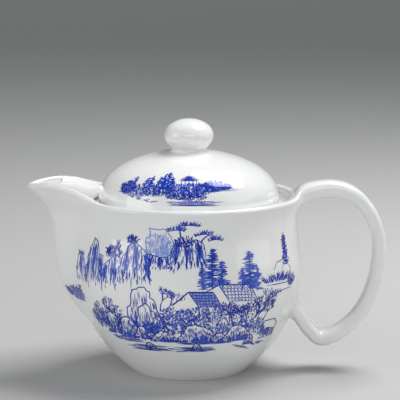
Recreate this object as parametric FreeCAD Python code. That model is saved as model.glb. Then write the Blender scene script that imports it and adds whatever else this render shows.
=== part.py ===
"""White porcelain teapot: open pouring beak, loop handle, inset domed lid and a steel leaf strainer.

The pot stands on the XY plane with its turning axis on Z. The beak points along -X and the handle along +X.
Every length is in millimetres.
"""
import FreeCAD
import Part
import math
import os
from FreeCAD import Vector

# Pot: the round vessel, radii on its outside
WALL = 3.0
FLOOR_THICKNESS = 3.4
FOOT_RADIUS = 26.0
FOOT_WIDTH = 4.0
FOOT_RECESS = 1.8
KNEE_RADIUS = 36.6
KNEE_HEIGHT = 9.8
HIP_RADIUS = 47.8
HIP_HEIGHT = 27.0
BELLY_RADIUS = 52.0
BELLY_HEIGHT = 52.5
NECK_RADIUS = 49.7
NECK_DROP = 10.0            # narrowest place of the neck, below the top of the rim
RIM_RADIUS = 51.0
RIM_RISE = 29.5             # top of the rim, above the widest place of the belly

# Seat ring: the ledge inside the neck that carries the strainer and the lid
SEAT_DROP = 6.0             # top of the ledge, below the top of the rim
SEAT_THICKNESS = 3.6
SEAT_WIDTH = 9.7            # from the neck's inside to the bore

# Beak: the open spout, its keel measured outwards from the belly and the rim
BEAK_WALL = 2.6
BEAK_FOOT_DROP = 27.5       # where the keel leaves the pot, below the widest place of the belly
BEAK_CHIN_STANDOFF = 4.8    # keel beyond the belly, where it bends upwards
BEAK_CHIN_DROP = 16.1
BEAK_BELLY_STANDOFF = 9.5   # keel beyond the belly, at mid height
BEAK_BELLY_DROP = 3.0
BEAK_THROAT_STANDOFF = 14.4  # keel beyond the rim, under the tip
BEAK_THROAT_DROP = 6.0      # that place, below the rim
BEAK_TIP_STANDOFF = 22.6    # tip beyond the rim
BEAK_TIP_RISE = 4.0
BEAK_LIP_START = 9.0        # where the lip leaves the level of the rim, inside the rim's circle
BEAK_LIP_RISE = 3.0         # lip above the rim, where it crosses the rim's circle
BEAK_CREST_STANDOFF = 11.0  # highest place of the lip
BEAK_CREST_RISE = 6.3
BRIDGE_DROP = 1.0           # inner edge of the web over the beak, below the rim
BRIDGE_REACH = 7.5          # the web's outer edge, beyond the rim
BRIDGE_RISE = 4.0           # the web's outer edge, above the rim
BRIDGE_THICKNESS = 2.6
BEAK_BELLY_HALF_WIDTH = 16.0
BEAK_THROAT_HALF_WIDTH = 24.0
BEAK_LIP_HALF_WIDTH = 28.5

# Handle: a flat strap bent to a loop, points on its centre line
STRAP_THICKNESS = 5.8
STRAP_WIDTH = 11.4
ROOT_FLARE = 1.55           # strap thickness at its roots, as a multiple
ROOT_SPREAD = 1.35          # strap width at its roots, as a multiple
FLARE_LENGTH = 17.0
CROWN_STANDOFF = 15.0       # top of the loop, beyond the rim
CROWN_RISE = 1.8
SHOULDER_STANDOFF = 30.0
SHOULDER_DROP = 5.6         # below the rim
BACK_STANDOFF = 35.5        # grip of the loop, beyond the belly
BACK_RISE = 2.5             # above the widest place of the belly
FLANK_STANDOFF = 28.6
FLANK_DROP = 22.9           # below the widest place of the belly
HEEL_STANDOFF = 11.2        # lowest place of the loop, beyond the belly
HEEL_DROP = 37.1
LOWER_ROOT_DROP = 15.5
UPPER_ROOT_DROP = 6.8       # below the rim

# Strainer: pressed and perforated steel
STEEL = 0.5
FLANGE_STEEL = 0.8
FLANGE_WIDTH = 4.6
BASKET_GAP = 1.2            # basket to the bore of the seat ring
BASKET_DEPTH = 46.0
HOLE_DIAMETER = 2.4
HOLE_ROWS = 6
HOLE_COLUMNS = 32
HOLE_MARGIN = 7.0           # plain band above and below the holes
FLOOR_COLLAR = 3.0
FLOOR_HOLE_RINGS = 4
FLOOR_HOLES_ADDED = 6       # each ring has this many holes more than the one inside it
FLOOR_HOLE_MARGIN = 6.8     # plain band inside the collar

# Lid: a half ellipse on a short edge, with a locating skirt
LID_OVERHANG = 6.4          # dome's widest place, beyond the skirt
LID_CROWN = 20.3
LID_WALL = 2.8
LID_EDGE_INSET = 1.4        # flat edge that rests on the strainer, inside the dome's widest place
LID_FLANGE_BULGE = 0.6      # rounded edge, beyond the dome's widest place
LID_FLANGE_DROP = 2.4       # that bulge, below the top of the pot's rim
LID_SKIRT_GAP = 0.7         # skirt to the inside of the strainer
LID_SKIRT_WALL = 2.8
LID_SKIRT_DEPTH = 8.5

# Knob: a flattened ball on a tapered neck, whose radii are given inside the ball's
KNOB_RADIUS = 11.0
KNOB_CAP = 7.6              # ball's top above its widest place
KNOB_RISE = 6.8             # ball's widest place above the top of the lid
KNOB_CHEEK_INSET = 1.1
KNOB_CHEEK_RISE = 3.1
KNOB_NECK_INSET = 2.6
KNOB_NECK_RISE = 0.3
KNOB_ROOT_INSET = 1.8
KNOB_ROOT_DROP = 1.6        # the neck's root, below the top of the lid and inside it

AXIS = Vector(0, 0, 1)
ORIGIN = Vector(0, 0, 0)

RIM_HEIGHT = BELLY_HEIGHT + RIM_RISE
NECK_HEIGHT = RIM_HEIGHT - NECK_DROP
SEAT_BORE_RADIUS = NECK_RADIUS - WALL - SEAT_WIDTH
SEAT_HEIGHT = RIM_HEIGHT - SEAT_DROP
FLOOR_HEIGHT = FOOT_RECESS + FLOOR_THICKNESS
FLANGE_TOP = SEAT_HEIGHT + FLANGE_STEEL
BASKET_RADIUS = SEAT_BORE_RADIUS - BASKET_GAP
BASKET_INNER = BASKET_RADIUS - STEEL
BASKET_BOTTOM = FLANGE_TOP - BASKET_DEPTH
SKIRT_RADIUS = BASKET_INNER - LID_SKIRT_GAP
LID_RADIUS = SKIRT_RADIUS + LID_OVERHANG
LID_TOP = RIM_HEIGHT + LID_CROWN
HALVINGS = 50               # steps of the search for a height on a curve


def at(radius, height):
    """A point of a turned outline, in the XZ plane."""
    return Vector(radius, 0, height)


def line(*points):
    """Straight edges from each point to the next."""
    return [Part.makeLine(a, b) for a, b in zip(points, points[1:])]


def curve(points, start=None, end=None):
    """A smooth curve through the points, with the directions of its ends where they are given."""
    made = Part.BSplineCurve()
    ends = {}
    if start and end:
        ends = {"InitialTangent": start, "FinalTangent": end}
    made.interpolate(Points=points, **ends)
    return made


def arc(a, middle, b):
    return Part.Arc(a, middle, b).toShape()


def turned(edges):
    """The solid that a closed outline sweeps in one turn about Z."""
    outline = Part.Wire(Part.__sortEdges__(edges))
    return Part.Face(outline).revolve(ORIGIN, AXIS, 360)


def cylinder(radius, bottom, top):
    return Part.makeCylinder(radius, top - bottom, Vector(0, 0, bottom))


def parameter_at(profile, height):
    """The place on a rising curve at that height."""
    low, high = profile.FirstParameter, profile.LastParameter
    for _ in range(HALVINGS):
        middle = (low + high) / 2
        if profile.value(middle).z < height:
            low = middle
        else:
            high = middle
    return (low + high) / 2


def radius_at(profile, height):
    return profile.value(parameter_at(profile, height)).x


# Pot
LIP_HALF = WALL / 2
INNER_POINTS = 9
OUTLINE = curve(
    [
        at(FOOT_RADIUS, 0),
        at(KNEE_RADIUS, KNEE_HEIGHT),
        at(HIP_RADIUS, HIP_HEIGHT),
        at(BELLY_RADIUS, BELLY_HEIGHT),
        at(NECK_RADIUS, NECK_HEIGHT),
        at(RIM_RADIUS, RIM_HEIGHT - LIP_HALF),
    ]
)


def inner_wall():
    """The cavity's wall, one wall thickness inside the outline, from the floor's edge up to the lip."""
    first = parameter_at(OUTLINE, KNEE_HEIGHT)
    last = OUTLINE.LastParameter
    points = [at(FOOT_RADIUS - FOOT_WIDTH, FLOOR_HEIGHT)]
    for i in range(INNER_POINTS):
        u = first + (last - first) * i / INNER_POINTS
        along = OUTLINE.tangent(u)[0]
        points.append(OUTLINE.value(u) + Vector(-along.z, 0, along.x) * WALL)
    points.append(at(RIM_RADIUS - WALL, RIM_HEIGHT - LIP_HALF))
    return curve(points)


INNER = inner_wall()


def outside_block(roof):
    """The vessel as if it were solid, carried up to a roof: it cuts whatever is joined to the outside."""
    rim = at(RIM_RADIUS, RIM_HEIGHT - LIP_HALF)
    closing = line(rim, at(RIM_RADIUS, roof), at(0, roof), at(0, 0), at(FOOT_RADIUS, 0))
    return turned([OUTLINE.toShape()] + closing)


def cavity():
    """The hollow of the vessel, up to its lip."""
    mouth = at(RIM_RADIUS - WALL, RIM_HEIGHT - LIP_HALF)
    floor = at(FOOT_RADIUS - FOOT_WIDTH, FLOOR_HEIGHT)
    closing = line(mouth, at(0, mouth.z), at(0, FLOOR_HEIGHT), floor)
    return turned([INNER.toShape()] + closing)


def pot_shell():
    """The turned wall with its foot ring and rounded lip, before the beak's window is cut."""
    foot_inner = FOOT_RADIUS - FOOT_WIDTH
    lip_middle = at(RIM_RADIUS - LIP_HALF, RIM_HEIGHT - LIP_HALF)
    lip_top = at(RIM_RADIUS - LIP_HALF, RIM_HEIGHT)
    slope = math.sqrt(0.5) * LIP_HALF
    outer_lip = arc(at(RIM_RADIUS, lip_middle.z), lip_middle + at(slope, slope), lip_top)
    inner_lip = arc(lip_top, lip_middle + at(-slope, slope), at(RIM_RADIUS - WALL, lip_middle.z))
    under = line(
        at(0, FLOOR_HEIGHT),
        at(0, FOOT_RECESS),
        at(foot_inner - FOOT_RECESS, FOOT_RECESS),
        at(foot_inner, 0),
        at(FOOT_RADIUS, 0),
    )
    floor = line(at(foot_inner, FLOOR_HEIGHT), at(0, FLOOR_HEIGHT))
    return turned(under + [OUTLINE.toShape(), outer_lip, inner_lip, INNER.toShape()] + floor)


# Beak
BEAK_FOOT_HEIGHT = BELLY_HEIGHT - BEAK_FOOT_DROP
BEAK_BELLY_HEIGHT = BELLY_HEIGHT - BEAK_BELLY_DROP
BEAK_THROAT_HEIGHT = RIM_HEIGHT - BEAK_THROAT_DROP
BEAK_TIP_HEIGHT = RIM_HEIGHT + BEAK_TIP_RISE
BEAK_FOOT_RADIUS = radius_at(OUTLINE, BEAK_FOOT_HEIGHT)
BEAK_TOP_SPARE = 6.0        # the forms run this far above the tip and are trimmed to the lip
BEAK_ROOF = BEAK_TIP_HEIGHT + 2 * BEAK_TOP_SPARE
BEAK_ROOT_DEPTH = 1.2       # the forms start this far inside the vessel's outside
BEAK_INSIDE = RIM_RADIUS / 2  # and they end this far from the axis, in the hollow
BEAK_LEVELS = 9
BEAK_POINTS = 9
KEEL_ROUNDNESS = 0.32       # how far the keel is rounded off, as a share of the half width
LIP_ROUNDNESS = 0.12
KEEL = curve(
    [
        at(BEAK_FOOT_RADIUS - BEAK_WALL, BEAK_FOOT_HEIGHT - BEAK_WALL),
        at(BELLY_RADIUS + BEAK_CHIN_STANDOFF, BELLY_HEIGHT - BEAK_CHIN_DROP),
        at(BELLY_RADIUS + BEAK_BELLY_STANDOFF, BEAK_BELLY_HEIGHT),
        at(RIM_RADIUS + BEAK_THROAT_STANDOFF, BEAK_THROAT_HEIGHT),
        at(RIM_RADIUS + BEAK_TIP_STANDOFF, BEAK_TIP_HEIGHT),
        at(RIM_RADIUS + BEAK_TIP_STANDOFF + BEAK_TOP_SPARE, BEAK_TIP_HEIGHT + BEAK_TOP_SPARE),
    ]
)
FLANK = curve(
    [
        at(BEAK_WALL, BEAK_FOOT_HEIGHT - BEAK_WALL),
        at(BEAK_BELLY_HALF_WIDTH, BEAK_BELLY_HEIGHT),
        at(BEAK_THROAT_HALF_WIDTH, BEAK_THROAT_HEIGHT),
        at(BEAK_LIP_HALF_WIDTH, BEAK_TIP_HEIGHT + BEAK_TOP_SPARE),
    ]
)


def vessel_radius(height):
    """The vessel's outside, carried straight up past its rim."""
    return radius_at(OUTLINE, min(height, RIM_HEIGHT - LIP_HALF))


def beak_section(height, inset):
    """A rounded V at one level, open towards the pot and closed by a straight line inside it."""
    keel = radius_at(KEEL, height)
    half = radius_at(FLANK, height)
    root = vessel_radius(height) - BEAK_ROOT_DEPTH
    root_x = math.sqrt(root ** 2 - half ** 2)
    climb = (height - BEAK_FOOT_HEIGHT) / (BEAK_TIP_HEIGHT - BEAK_FOOT_HEIGHT)
    sharp = KEEL_ROUNDNESS + (LIP_ROUNDNESS - KEEL_ROUNDNESS) * min(max(climb, 0), 1)
    full = math.hypot(1, sharp) - sharp
    slope = (keel - root_x) / full
    points = []
    for i in range(BEAK_POINTS):
        u = 2 * i / (BEAK_POINTS - 1) - 1
        reach = keel - slope * (math.hypot(u, sharp) - sharp)
        fall = slope * u / math.hypot(u, sharp)
        normal = Vector(half, fall, 0).normalize()
        points.append(Vector(-reach, half * u, height) + Vector(normal.x, -normal.y, 0) * inset)
    first = points[0]
    last = points[-1]
    inside_first = Vector(-BEAK_INSIDE, first.y, height)
    inside_last = Vector(-BEAK_INSIDE, last.y, height)
    sides = line(last, inside_last, inside_first, first)
    return Part.Wire([curve(points).toShape()] + sides)


def beak_form(inset):
    """The beak's outside, or with an inset the channel inside it, up past the lip."""
    bottom = KEEL.value(KEEL.FirstParameter).z + 2 * inset
    top = KEEL.value(KEEL.LastParameter).z
    heights = [bottom + (top - bottom) * i / (BEAK_LEVELS - 1) for i in range(BEAK_LEVELS)]
    return Part.makeLoft([beak_section(h, inset) for h in heights], True)


def above_lip():
    """Everything above the beak's lip, which rises from the rim to a crest and drops at the tip."""
    start = at(BEAK_LIP_START - RIM_RADIUS, RIM_HEIGHT)
    tip = at(-RIM_RADIUS - BEAK_TIP_STANDOFF, BEAK_TIP_HEIGHT)
    crest = at(-RIM_RADIUS - BEAK_CREST_STANDOFF, RIM_HEIGHT + BEAK_CREST_RISE)
    end = tip + (tip - crest)
    lip = curve([start, at(-RIM_RADIUS, RIM_HEIGHT + BEAK_LIP_RISE), crest, tip, end])
    closing = line(end, at(end.x, BEAK_ROOF), at(0, BEAK_ROOF), at(0, RIM_HEIGHT), start)
    face = Part.Face(Part.Wire(Part.__sortEdges__([lip.toShape()] + closing)))
    face.translate(Vector(0, -BELLY_RADIUS, 0))
    return face.extrude(Vector(0, 2 * BELLY_RADIUS, 0))


def make_pot_body(channel):
    """The vessel, with a window through its wall where the beak is joined."""
    return pot_shell().cut(channel)


def make_beak(channel):
    """The beak's wall, which ends on the outside of the vessel."""
    return beak_form(0).cut([outside_block(BEAK_ROOF), channel, above_lip()])


def make_bridge(channel):
    """The web that closes the top of the beak, from the vessel's wall out to the mouth."""
    thickness = Vector(0, 0, BRIDGE_THICKNESS)
    inner_top = at(SEAT_BORE_RADIUS, RIM_HEIGHT - BRIDGE_DROP)
    outer_top = at(RIM_RADIUS + BRIDGE_REACH, RIM_HEIGHT + BRIDGE_RISE)
    wall_top = at(RIM_RADIUS - WALL, RIM_HEIGHT - BRIDGE_DROP)
    outline = line(inner_top, wall_top, outer_top, outer_top - thickness, wall_top - thickness)
    outline += line(wall_top - thickness, inner_top - thickness, inner_top)
    mouth = cylinder(RIM_RADIUS - WALL, RIM_HEIGHT - LIP_HALF, RIM_HEIGHT)
    return turned(outline).common(channel).cut([cavity(), mouth])


# Seat ring
def make_seat_ring():
    """A flat ring that fills the neck from its bore out to the cavity's wall."""
    bottom = SEAT_HEIGHT - SEAT_THICKNESS
    ring = cylinder(BELLY_RADIUS, bottom, SEAT_HEIGHT).common(cavity())
    return ring.cut(cylinder(SEAT_BORE_RADIUS, bottom, SEAT_HEIGHT))


# Handle
HANDLE_SECTIONS = 24
LOWER_ROOT_HEIGHT = BELLY_HEIGHT - LOWER_ROOT_DROP
ROOT_DEPTH = 5.0            # the strap starts this far inside the vessel's outside
LOOP = curve(
    [
        at(RIM_RADIUS - ROOT_DEPTH, RIM_HEIGHT - UPPER_ROOT_DROP),
        at(RIM_RADIUS + CROWN_STANDOFF, RIM_HEIGHT + CROWN_RISE),
        at(RIM_RADIUS + SHOULDER_STANDOFF, RIM_HEIGHT - SHOULDER_DROP),
        at(BELLY_RADIUS + BACK_STANDOFF, BELLY_HEIGHT + BACK_RISE),
        at(BELLY_RADIUS + FLANK_STANDOFF, BELLY_HEIGHT - FLANK_DROP),
        at(BELLY_RADIUS + HEEL_STANDOFF, BELLY_HEIGHT - HEEL_DROP),
        at(vessel_radius(LOWER_ROOT_HEIGHT) - ROOT_DEPTH, LOWER_ROOT_HEIGHT),
    ]
)


def strap_section(distance, length):
    """The strap's oval section at a distance along the loop, swollen near both roots."""
    u = LOOP.parameterAtDistance(distance, LOOP.FirstParameter)
    centre = LOOP.value(u)
    along = LOOP.tangent(u)[0]
    across = Vector(along.z, 0, -along.x)
    near = max(0, 1 - min(distance, length - distance) / FLARE_LENGTH) ** 2
    thick = STRAP_THICKNESS * (1 + (ROOT_FLARE - 1) * near)
    wide = STRAP_WIDTH * (1 + (ROOT_SPREAD - 1) * near)
    oval = Part.Ellipse(centre + Vector(0, wide / 2, 0), centre + across * thick / 2, centre)
    return Part.Wire(oval.toShape())


def make_handle():
    """The loop, cut off where it meets the vessel."""
    length = LOOP.length()
    stops = [length * i / (HANDLE_SECTIONS - 1) for i in range(HANDLE_SECTIONS)]
    strap = Part.makeLoft([strap_section(d, length) for d in stops], True)
    return strap.cut(outside_block(RIM_HEIGHT + STRAP_WIDTH))


# Strainer
def make_strainer_rim():
    """A flat ring that hangs the basket on the seat ring."""
    return cylinder(BASKET_RADIUS + FLANGE_WIDTH, SEAT_HEIGHT, FLANGE_TOP).cut(
        cylinder(BASKET_RADIUS, SEAT_HEIGHT, FLANGE_TOP)
    )


def make_strainer_wall():
    """A thin sleeve with staggered rows of round holes."""
    sleeve = cylinder(BASKET_RADIUS, BASKET_BOTTOM, FLANGE_TOP).cut(
        cylinder(BASKET_INNER, BASKET_BOTTOM, FLANGE_TOP)
    )
    low = BASKET_BOTTOM + HOLE_MARGIN
    high = FLANGE_TOP - LID_SKIRT_DEPTH - HOLE_MARGIN
    drills = []
    for row in range(HOLE_ROWS):
        height = low + (high - low) * row / (HOLE_ROWS - 1)
        for column in range(HOLE_COLUMNS):
            turn = 2 * math.pi * (column + row % 2 / 2) / HOLE_COLUMNS
            way = Vector(math.cos(turn), math.sin(turn), 0)
            start = way * (BASKET_INNER - HOLE_DIAMETER) + Vector(0, 0, height)
            drills.append(Part.makeCylinder(HOLE_DIAMETER / 2, 2 * HOLE_DIAMETER, start, way))
    return sleeve.cut(Part.makeCompound(drills))


def make_strainer_floor():
    """A shallow dish, its collar down, pressed into the sleeve's lower end, with rings of round holes."""
    floor_top = BASKET_BOTTOM + FLOOR_COLLAR
    dish = cylinder(BASKET_INNER, BASKET_BOTTOM, floor_top).cut(
        cylinder(BASKET_INNER - STEEL, BASKET_BOTTOM, floor_top - STEEL)
    )
    pitch = (BASKET_INNER - STEEL - FLOOR_HOLE_MARGIN) / FLOOR_HOLE_RINGS
    drills = [cylinder(HOLE_DIAMETER / 2, BASKET_BOTTOM, floor_top)]
    for ring in range(1, FLOOR_HOLE_RINGS + 1):
        holes = FLOOR_HOLES_ADDED * ring
        for i in range(holes):
            turn = 2 * math.pi * i / holes
            hole = cylinder(HOLE_DIAMETER / 2, BASKET_BOTTOM, floor_top)
            hole.translate(Vector(math.cos(turn), math.sin(turn), 0) * pitch * ring)
            drills.append(hole)
    return dish.cut(Part.makeCompound(drills))


# Lid
def quarter_ellipse(radius, rise, base):
    """From the widest place, at the base's height, up to the axis."""
    quarter = Part.BezierCurve()
    quarter.setPoles([at(radius, base), at(radius, base + rise), at(0, base + rise)])
    quarter.setWeight(2, math.sqrt(0.5))
    return quarter.toBSpline().toShape()


def lid_block():
    """The lid's outside as a solid, which the knob is cut to."""
    edge = at(LID_RADIUS - LID_EDGE_INSET, FLANGE_TOP)
    flange = at(LID_RADIUS + LID_FLANGE_BULGE, RIM_HEIGHT - LID_FLANGE_DROP)
    side = arc(at(LID_RADIUS, RIM_HEIGHT), flange, edge)
    closing = line(edge, at(0, FLANGE_TOP), at(0, LID_TOP))
    return turned([quarter_ellipse(LID_RADIUS, LID_CROWN, RIM_HEIGHT), side] + closing)


def make_lid_dome():
    """The dome with its flat edge, hollow inside, and the skirt that drops into the strainer."""
    skirt_inner = SKIRT_RADIUS - LID_SKIRT_WALL
    skirt_bottom = FLANGE_TOP - LID_SKIRT_DEPTH
    skirt = cylinder(SKIRT_RADIUS, skirt_bottom, RIM_HEIGHT)
    inside = quarter_ellipse(LID_RADIUS - LID_WALL, LID_CROWN - LID_WALL, RIM_HEIGHT)
    hollow_edge = at(LID_RADIUS - LID_WALL, RIM_HEIGHT)
    hollow = turned([inside] + line(at(0, LID_TOP - LID_WALL), at(0, RIM_HEIGHT), hollow_edge))
    hollow = hollow.common(cylinder(skirt_inner, RIM_HEIGHT, LID_TOP))
    bore = cylinder(skirt_inner, skirt_bottom, RIM_HEIGHT)
    return lid_block().fuse(skirt).cut(bore.fuse(hollow)).removeSplitter()


def make_lid_knob():
    """A ball, wider than high, on a neck that tapers and spreads a little onto the dome."""
    widest = LID_TOP + KNOB_RISE
    root = LID_TOP - KNOB_ROOT_DROP
    root_end = at(KNOB_RADIUS - KNOB_ROOT_INSET, root)
    cheek = curve(
        [
            root_end,
            at(KNOB_RADIUS - KNOB_NECK_INSET, LID_TOP + KNOB_NECK_RISE),
            at(KNOB_RADIUS - KNOB_CHEEK_INSET, LID_TOP + KNOB_CHEEK_RISE),
            at(KNOB_RADIUS, widest),
        ],
        Vector(-1, 0, 1),
        Vector(0, 0, 1),
    ).toShape()
    closing = line(at(0, widest + KNOB_CAP), at(0, root), root_end)
    ball = turned([quarter_ellipse(KNOB_RADIUS, KNOB_CAP, widest), cheek] + closing)
    return ball.cut(lid_block())


def main():
    os.makedirs("parts", exist_ok=True)
    channel = beak_form(BEAK_WALL)
    pieces = {
        "pot_body": make_pot_body(channel),
        "pouring_beak": make_beak(channel),
        "beak_bridge": make_bridge(channel),
        "seat_ring": make_seat_ring(),
        "handle": make_handle(),
        "strainer_rim": make_strainer_rim(),
        "strainer_wall": make_strainer_wall(),
        "strainer_floor": make_strainer_floor(),
        "lid_dome": make_lid_dome(),
        "lid_knob": make_lid_knob(),
    }
    for name, shape in pieces.items():
        print(name, len(shape.Solids), "solids, valid", shape.isValid(), "volume", round(shape.Volume, 1))
        shape.exportStep(f"parts/{name}.step")


if __name__ == "__main__":
    main()
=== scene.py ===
"""Blue-and-white porcelain teapot with a steel leaf strainer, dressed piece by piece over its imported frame.

Lengths are in millimetres and become metres where a mesh is made. The beak points along -X and the
handle along +X.
"""
import math
import random
import bpy
import bmesh
import numpy as np
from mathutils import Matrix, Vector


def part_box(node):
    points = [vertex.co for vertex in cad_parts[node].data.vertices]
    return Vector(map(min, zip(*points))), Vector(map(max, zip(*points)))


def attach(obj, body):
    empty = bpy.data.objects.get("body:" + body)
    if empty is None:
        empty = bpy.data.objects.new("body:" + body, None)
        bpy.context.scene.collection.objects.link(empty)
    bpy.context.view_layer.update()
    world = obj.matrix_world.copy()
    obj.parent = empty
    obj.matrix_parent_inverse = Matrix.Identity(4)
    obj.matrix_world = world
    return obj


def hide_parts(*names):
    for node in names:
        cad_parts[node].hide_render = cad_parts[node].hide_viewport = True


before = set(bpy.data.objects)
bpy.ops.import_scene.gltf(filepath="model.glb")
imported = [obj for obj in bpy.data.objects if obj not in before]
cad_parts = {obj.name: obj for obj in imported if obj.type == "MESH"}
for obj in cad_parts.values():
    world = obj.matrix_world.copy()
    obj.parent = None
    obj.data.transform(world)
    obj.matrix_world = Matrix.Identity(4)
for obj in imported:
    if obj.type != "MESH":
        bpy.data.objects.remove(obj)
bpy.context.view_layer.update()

# Pot and beak
# One slip-cast piece of white porcelain: the round vessel on its foot ring, and the open beak that is
# luted on and smoothed into it with a wet brush. Both are glazed together, and only the foot ring is bare.
MM = 0.001


def corners(node):
    """A node's lowest and highest corners in millimetres."""
    return [np.array(corner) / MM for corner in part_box(node)]


def drawn_line(points, count=500):
    """A smooth line through the points, as a bent batten takes it: a cubic spline on chord length."""
    knots = np.array(points, float)
    chord = np.linalg.norm(np.diff(knots, axis=0), axis=1)
    place = np.concatenate([[0], np.cumsum(chord)])
    last = len(knots) - 1
    matrix = np.eye(last + 1)
    wanted = np.zeros_like(knots)
    for end, four in ((0, slice(0, 4)), (last, slice(max(last - 3, 0), last + 1))):
        fit = np.polyfit(place[four], knots[four], len(place[four]) - 1)
        power = np.arange(len(fit) - 1, 0, -1)
        wanted[end] = (power * place[end] ** (power - 1)) @ fit[:-1]
    for i in range(1, last):
        before, after = chord[i - 1], chord[i]
        matrix[i, i - 1:i + 2] = 1 / before, 2 / before + 2 / after, 1 / after
        wanted[i] = 3 * (knots[i] - knots[i - 1]) / before ** 2 + 3 * (knots[i + 1] - knots[i]) / after ** 2
    slope = np.linalg.solve(matrix, wanted)
    along = np.linspace(0, place[-1], count)
    k = np.clip(np.searchsorted(place, along) - 1, 0, last - 1)
    span = chord[k][:, None]
    t = (along - place[k])[:, None] / span
    start = (1 + 2 * t) * (1 - t) ** 2 * knots[k] + t * (1 - t) ** 2 * span * slope[k]
    return start + t * t * (3 - 2 * t) * knots[k + 1] + t * t * (t - 1) * span * slope[k + 1]


def eased(outline, ease, steps=4):
    """The outline's points with each inner corner rounded off over the given length."""
    points = [np.array(p, float) for p in outline]
    made = [points[0]]
    for before, corner, after in zip(points, points[1:], points[2:]):
        back, on = before - corner, after - corner
        start = corner + back * min(ease / np.linalg.norm(back), 0.5)
        end = corner + on * min(ease / np.linalg.norm(on), 0.5)
        for t in np.linspace(0, 1, steps + 1):
            made.append((1 - t) ** 2 * start + 2 * t * (1 - t) * corner + t * t * end)
    return np.array(made + [points[-1]])


def skin(name, rings, bare_rows=()):
    """A closed mesh over closed loops of points; a loop drawn in to one point makes a pole."""
    rows, columns = rings.shape[:2]
    r, c = np.meshgrid(np.arange(rows - 1), np.arange(columns), indexing="ij")
    onward = (c + 1) % columns
    here, beyond = r * columns, (r + 1) * columns
    faces = np.stack([here + c, here + onward, beyond + onward, beyond + c], -1)
    mesh = bpy.data.meshes.new(name)
    mesh.from_pydata(rings.reshape(-1, 3) * MM, [], faces.reshape(-1, 4).tolist())
    mesh.polygons.foreach_set("material_index", np.isin(r, list(bare_rows)).astype(int).ravel())
    work = bmesh.new()
    work.from_mesh(mesh)
    bmesh.ops.remove_doubles(work, verts=work.verts, dist=1e-7)
    bmesh.ops.recalc_face_normals(work, faces=work.faces)
    work.to_mesh(mesh)
    work.free()
    mesh.shade_smooth()
    piece = bpy.data.objects.new(name, mesh)
    bpy.context.scene.collection.objects.link(piece)
    return piece


def turned(name, profile, columns=144):
    """A piece turned about the axis from its profile of radii and heights."""
    turn = np.linspace(0, 2 * np.pi, columns, endpoint=False)
    radius, height = np.array(profile).T[:, :, None]
    rings = np.stack([radius * np.cos(turn), radius * np.sin(turn), height + 0 * turn], -1)
    return skin(name, rings)


rim_height = corners("pot_body")[1][2]
wall = 3.0
lip_half = wall / 2
floor_height = 5.2
foot_recess = 1.8
foot_inner, foot_outer = 22.0, 26.0
foot_ease = 0.5
rim_radius = 51.0
rim_edge = rim_height - lip_half
knee_height = 9.8
outline = drawn_line(
    [(foot_outer, 0), (36.6, knee_height), (47.8, 27), (52, 52.5), (49.7, 72), (rim_radius, rim_edge)]
)
tangent = np.gradient(outline, axis=0)
tangent /= np.linalg.norm(tangent, axis=1)[:, None]
offset_wall = outline + wall * np.stack([-tangent[:, 1], tangent[:, 0]], -1)
above_knee = offset_wall[outline[:, 1] > knee_height]
inner_wall = drawn_line([(foot_inner, floor_height), *above_knee[::50], (rim_radius - wall, rim_edge)])

beak_wall = 2.6
beak_foot = 22.4
beak_tip = -corners("pouring_beak")[0][0]
beak_tip_height = 87.3
beak_root_depth = 1.2
keel_round, lip_round = 0.32, 0.12
keel = drawn_line([(44.4, beak_foot), (56.8, 36.4), (61.3, 49.5), (65.4, 75.5), (74.3, 85.4), (79.2, 92.4)])
flank = drawn_line([(beak_wall, beak_foot), (16, 49.5), (24, 74), (36, 92)])
lip_line = drawn_line(
    [(-beak_tip - 6, 86.2), (-73.6, beak_tip_height), (-69, 88.0), (-64.5, 88.2), (-59.5, 87.8), (-54, 86.5),
     (-48.5, 84.7), (-43, 82.8), (-37, rim_height + 0.05), (-31, rim_height)]
)
crease = 5.0            # how softly the beak runs into the pot, outside and inside
crease_inside = 3.0
beak_fall = 45.0        # how fast the beak's surface dives into the pot beside its edges, per radian
beak_sink = 1.0         # and below its foot, per millimetre


def radius_on(line, height):
    return np.interp(height, line[:, 1], line[:, 0])


def beak_edge(height, inset):
    """The beak's rounded V at one level: directions from its middle plane, and distances from the axis."""
    tip = radius_on(keel, height)
    half = radius_on(flank, height)
    root = math.sqrt((radius_on(outline, height) - beak_root_depth) ** 2 - half ** 2)
    climb = np.clip((height - beak_foot) / (beak_tip_height - beak_foot), 0, 1)
    sharp = keel_round + (lip_round - keel_round) * climb
    slope = (tip - root) / (math.hypot(1, sharp) - sharp)
    u = np.linspace(0, 1.12, 90)
    fall = slope * u / np.hypot(u, sharp)
    length = np.hypot(half, fall)
    reach = tip - slope * (np.hypot(u, sharp) - sharp) - inset * half / length
    side = half * u - inset * fall / length
    return np.arctan2(side, reach), np.hypot(side, reach)


def beak_radius(turn, height, inset):
    """The beak's surface, measured from the axis; it dives into the pot beside and below the beak."""
    level = max(height, beak_foot)
    angle, radius = beak_edge(level, inset)
    away = np.abs(turn)
    fall = min((radius[-1] - radius[-2]) / (angle[-1] - angle[-2]), -beak_fall)
    sunk = beak_sink * (level - height) + radius_on(outline, level) - radius_on(outline, height)
    return np.interp(away, angle, radius) + fall * np.clip(away - angle[-1], 0, None) - sunk


def merged(a, b, soft):
    """The larger of two radii, with a soft change between them."""
    overlap = np.clip(1 - np.abs(a - b) / soft, 0, None)
    return np.maximum(a, b) + overlap ** 2 * soft / 4


def outer_radius(turn, height):
    return merged(radius_on(outline, height), beak_radius(turn, height, 0), crease)


def inner_radius(turn, height):
    inside = merged(radius_on(inner_wall, height), beak_radius(turn, height, beak_wall), crease_inside)
    return np.minimum(inside, outer_radius(turn, height) - 0.7 * beak_wall)


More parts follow.
